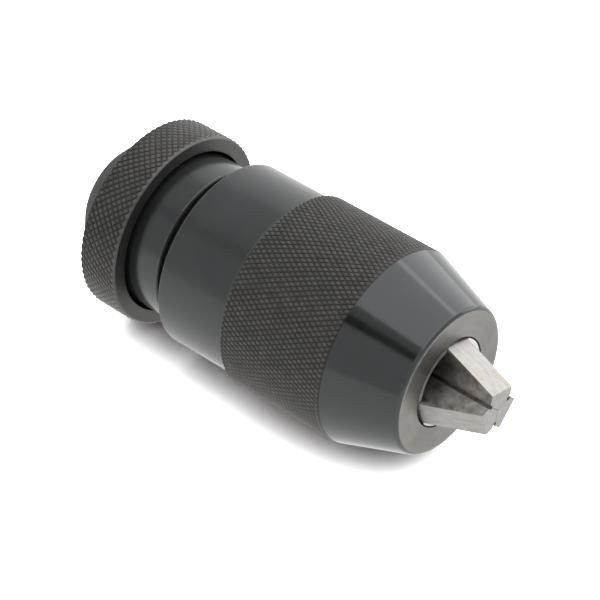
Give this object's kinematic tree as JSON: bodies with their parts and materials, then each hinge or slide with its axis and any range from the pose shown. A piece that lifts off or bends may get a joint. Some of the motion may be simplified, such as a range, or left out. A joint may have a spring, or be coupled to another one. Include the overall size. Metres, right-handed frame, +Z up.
{
  "type": "keyless drill chuck",
  "caption": "Keyless drill chuck with a knurled sleeve, a tapered nose, a rear holding ring and sliding steel jaws fed by an inner screw.",
  "frame": {"origin": "on the surface that the chuck lies on, under the middle of the closed chuck's length", "axes": "+X along the chuck's axis towards the jaws, +Z up"},
  "size_m": [0.1168, 0.0498, 0.0499],
  "materials": {
    "blackened_steel": "black oxide over turned and knurled steel, satin",
    "hardened_steel": "hardened and ground steel",
    "jaw_steel": "bright ground steel",
    "cage_brass": "plain machined brass"
  },
  "bodies": {
    "body": {"chuck_body": "blackened_steel", "holding_ring": "blackened_steel", "rear_collar": "blackened_steel", "front_race": "hardened_steel"},
    "sleeve": {"rear_sleeve": "blackened_steel", "front_hood": "blackened_steel", "jaw_guide": "hardened_steel", "rear_race": "hardened_steel"},
    "cage": {"ball_cage": "cage_brass", "bearing_ball_1": "hardened_steel", "bearing_ball_2": "hardened_steel", "bearing_ball_3": "hardened_steel", "bearing_ball_4": "hardened_steel", "bearing_ball_5": "hardened_steel", "bearing_ball_6": "hardened_steel", "bearing_ball_7": "hardened_steel", "bearing_ball_8": "hardened_steel", "bearing_ball_9": "hardened_steel", "bearing_ball_10": "hardened_steel", "bearing_ball_11": "hardened_steel", "bearing_ball_12": "hardened_steel", "bearing_ball_13": "hardened_steel", "bearing_ball_14": "hardened_steel", "bearing_ball_15": "hardened_steel", "bearing_ball_16": "hardened_steel"},
    "screw": {"lead_screw": "hardened_steel"},
    "first_jaw": {"jaw_1": "jaw_steel"},
    "second_jaw": {"jaw_2": "jaw_steel"},
    "third_jaw": {"jaw_3": "jaw_steel"}
  },
  "joints": [
    {"name": "sleeve_turn", "type": "hinge", "parent": "body", "child": "sleeve", "pos_m": [0, 0, 0.02495], "axis": [1, 0, 0], "range_deg": [0, 1224]},
    {"name": "cage_turn", "type": "hinge", "parent": "body", "child": "cage", "pos_m": [0, 0, 0.02495], "axis": [1, 0, 0], "range_deg": [0, 612]},
    {"name": "screw_feed", "type": "slide", "parent": "sleeve", "child": "screw", "axis": [-1, 0, 0], "range_m": [0, 0.017]},
    {"name": "first_jaw_slide", "type": "slide", "parent": "sleeve", "child": "first_jaw", "axis": [-0.9348, 0.0895, 0.3436], "range_m": [0, 0.0182]},
    {"name": "second_jaw_slide", "type": "slide", "parent": "sleeve", "child": "second_jaw", "axis": [-0.9348, -0.3424, -0.0943], "range_m": [0, 0.0182]},
    {"name": "third_jaw_slide", "type": "slide", "parent": "sleeve", "child": "third_jaw", "axis": [-0.9348, 0.2528, -0.2493], "range_m": [0, 0.0182]}
  ],
  "couplings": [
    {"joint": "sleeve_turn", "follows": "screw_feed", "rad_per_m": 1256.6},
    {"joint": "cage_turn", "follows": "screw_feed", "rad_per_m": 628.32},
    {"joint": "first_jaw_slide", "follows": "screw_feed", "ratio": 1.0697},
    {"joint": "second_jaw_slide", "follows": "screw_feed", "ratio": 1.0697},
    {"joint": "third_jaw_slide", "follows": "screw_feed", "ratio": 1.0697}
  ]
}
